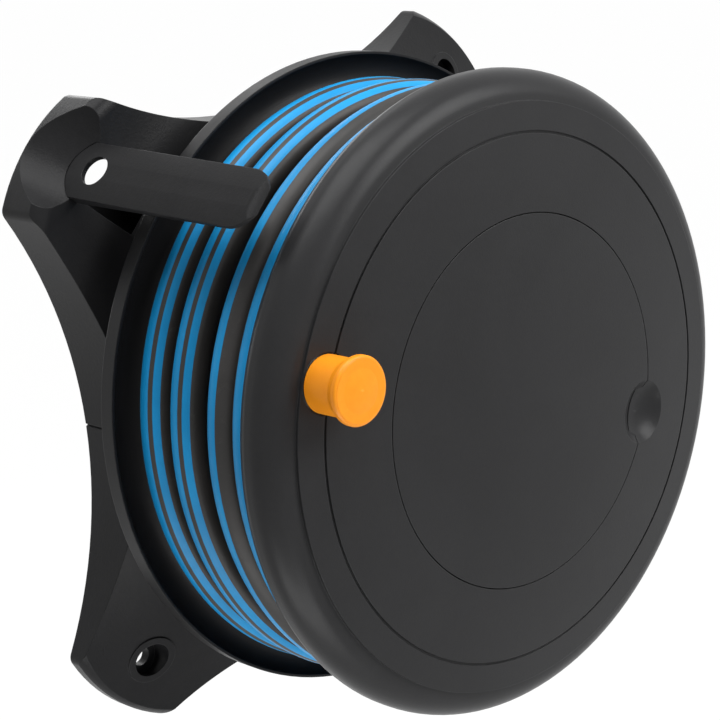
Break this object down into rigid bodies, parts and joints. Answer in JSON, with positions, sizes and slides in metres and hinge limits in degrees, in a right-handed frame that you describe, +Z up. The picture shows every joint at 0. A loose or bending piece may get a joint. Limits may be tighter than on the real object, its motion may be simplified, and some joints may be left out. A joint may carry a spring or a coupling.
{
  "type": "extension cord reel",
  "caption": "Wall-mounted cord reel: a four-armed bracket, a drum that spins on a fixed spindle, an orange crank knob, sockets under a lift-off lid and a guide arm.",
  "frame": {"origin": "on the drum's axis in the plane of the wall, at the middle of the four wall screws", "axes": "+Z up, -Y out of the wall along the drum's axis, +X to the right as seen from the front"},
  "size_m": [0.2896, 0.1723, 0.2896],
  "materials": {
    "bracket_plastic": "fine moulded texture",
    "drum_plastic": "satin moulded",
    "cover_plastic": "fine moulded texture",
    "panel_plastic": "satin moulded",
    "bearing_plastic": "turned acetal",
    "knob_plastic": "satin moulded",
    "red_plastic": "gloss",
    "lead_plastic": "smooth insulation",
    "cord_rubber": "smooth jacket with blue stripes",
    "steel": "zinc plated",
    "cast_aluminium": "turned",
    "brass": "stamped"
  },
  "bodies": {
    "wall": {"wall_bracket": "bracket_plastic", "guide_arm": "bracket_plastic", "guide_arm_screws": "steel", "spindle": "cast_aluminium", "spindle_screws": "steel", "thrust_washer": "steel", "retaining_washer": "steel", "retaining_screw": "steel"},
    "drum": {"rear_bush": "bearing_plastic", "front_bush": "bearing_plastic", "rear_flange": "drum_plastic", "rear_flange_screws": "steel", "drum_barrel": "drum_plastic", "front_disc": "drum_plastic", "front_disc_screws": "steel", "front_cover": "cover_plastic", "socket_panel": "panel_plastic", "panel_screws": "steel", "socket_contacts": "brass", "cutout_body": "panel_plastic", "button_spring": "steel", "cord_clamp": "panel_plastic", "cord_clamp_screws": "steel", "cord_tail": "cord_rubber", "lead_wires": "lead_plastic", "cord_core": "cord_rubber", "cord_winding": "cord_rubber", "plug_relief": "cord_rubber", "plug_body": "cord_rubber", "plug_pins": "brass", "knob_screw": "steel"},
    "knob": {"knob_sleeve": "knob_plastic", "knob_cap": "knob_plastic"},
    "lid": {"lid": "cover_plastic", "lid_catches": "cover_plastic"},
    "button": {"reset_button": "red_plastic"}
  },
  "joints": [
    {"name": "drum_spin", "type": "hinge", "parent": "wall", "child": "drum", "pos_m": [0, -0.085, 0], "axis": [0, -1, 0], "continuous": true},
    {"name": "knob_spin", "type": "hinge", "parent": "drum", "child": "knob", "pos_m": [-0.109, -0.162, 0.03967], "axis": [0, -1, 0], "continuous": true},
    {"name": "lid_lift", "type": "slide", "parent": "drum", "child": "lid", "axis": [0, -1, 0], "range_m": [0, 0.06]},
    {"name": "button_press", "type": "slide", "parent": "drum", "child": "button", "axis": [0, 1, 0], "range_m": [0, 0.0025], "stiffness_N_per_m": 600, "springref_m": -0.002, "deforming": ["button_spring"]}
  ]
}
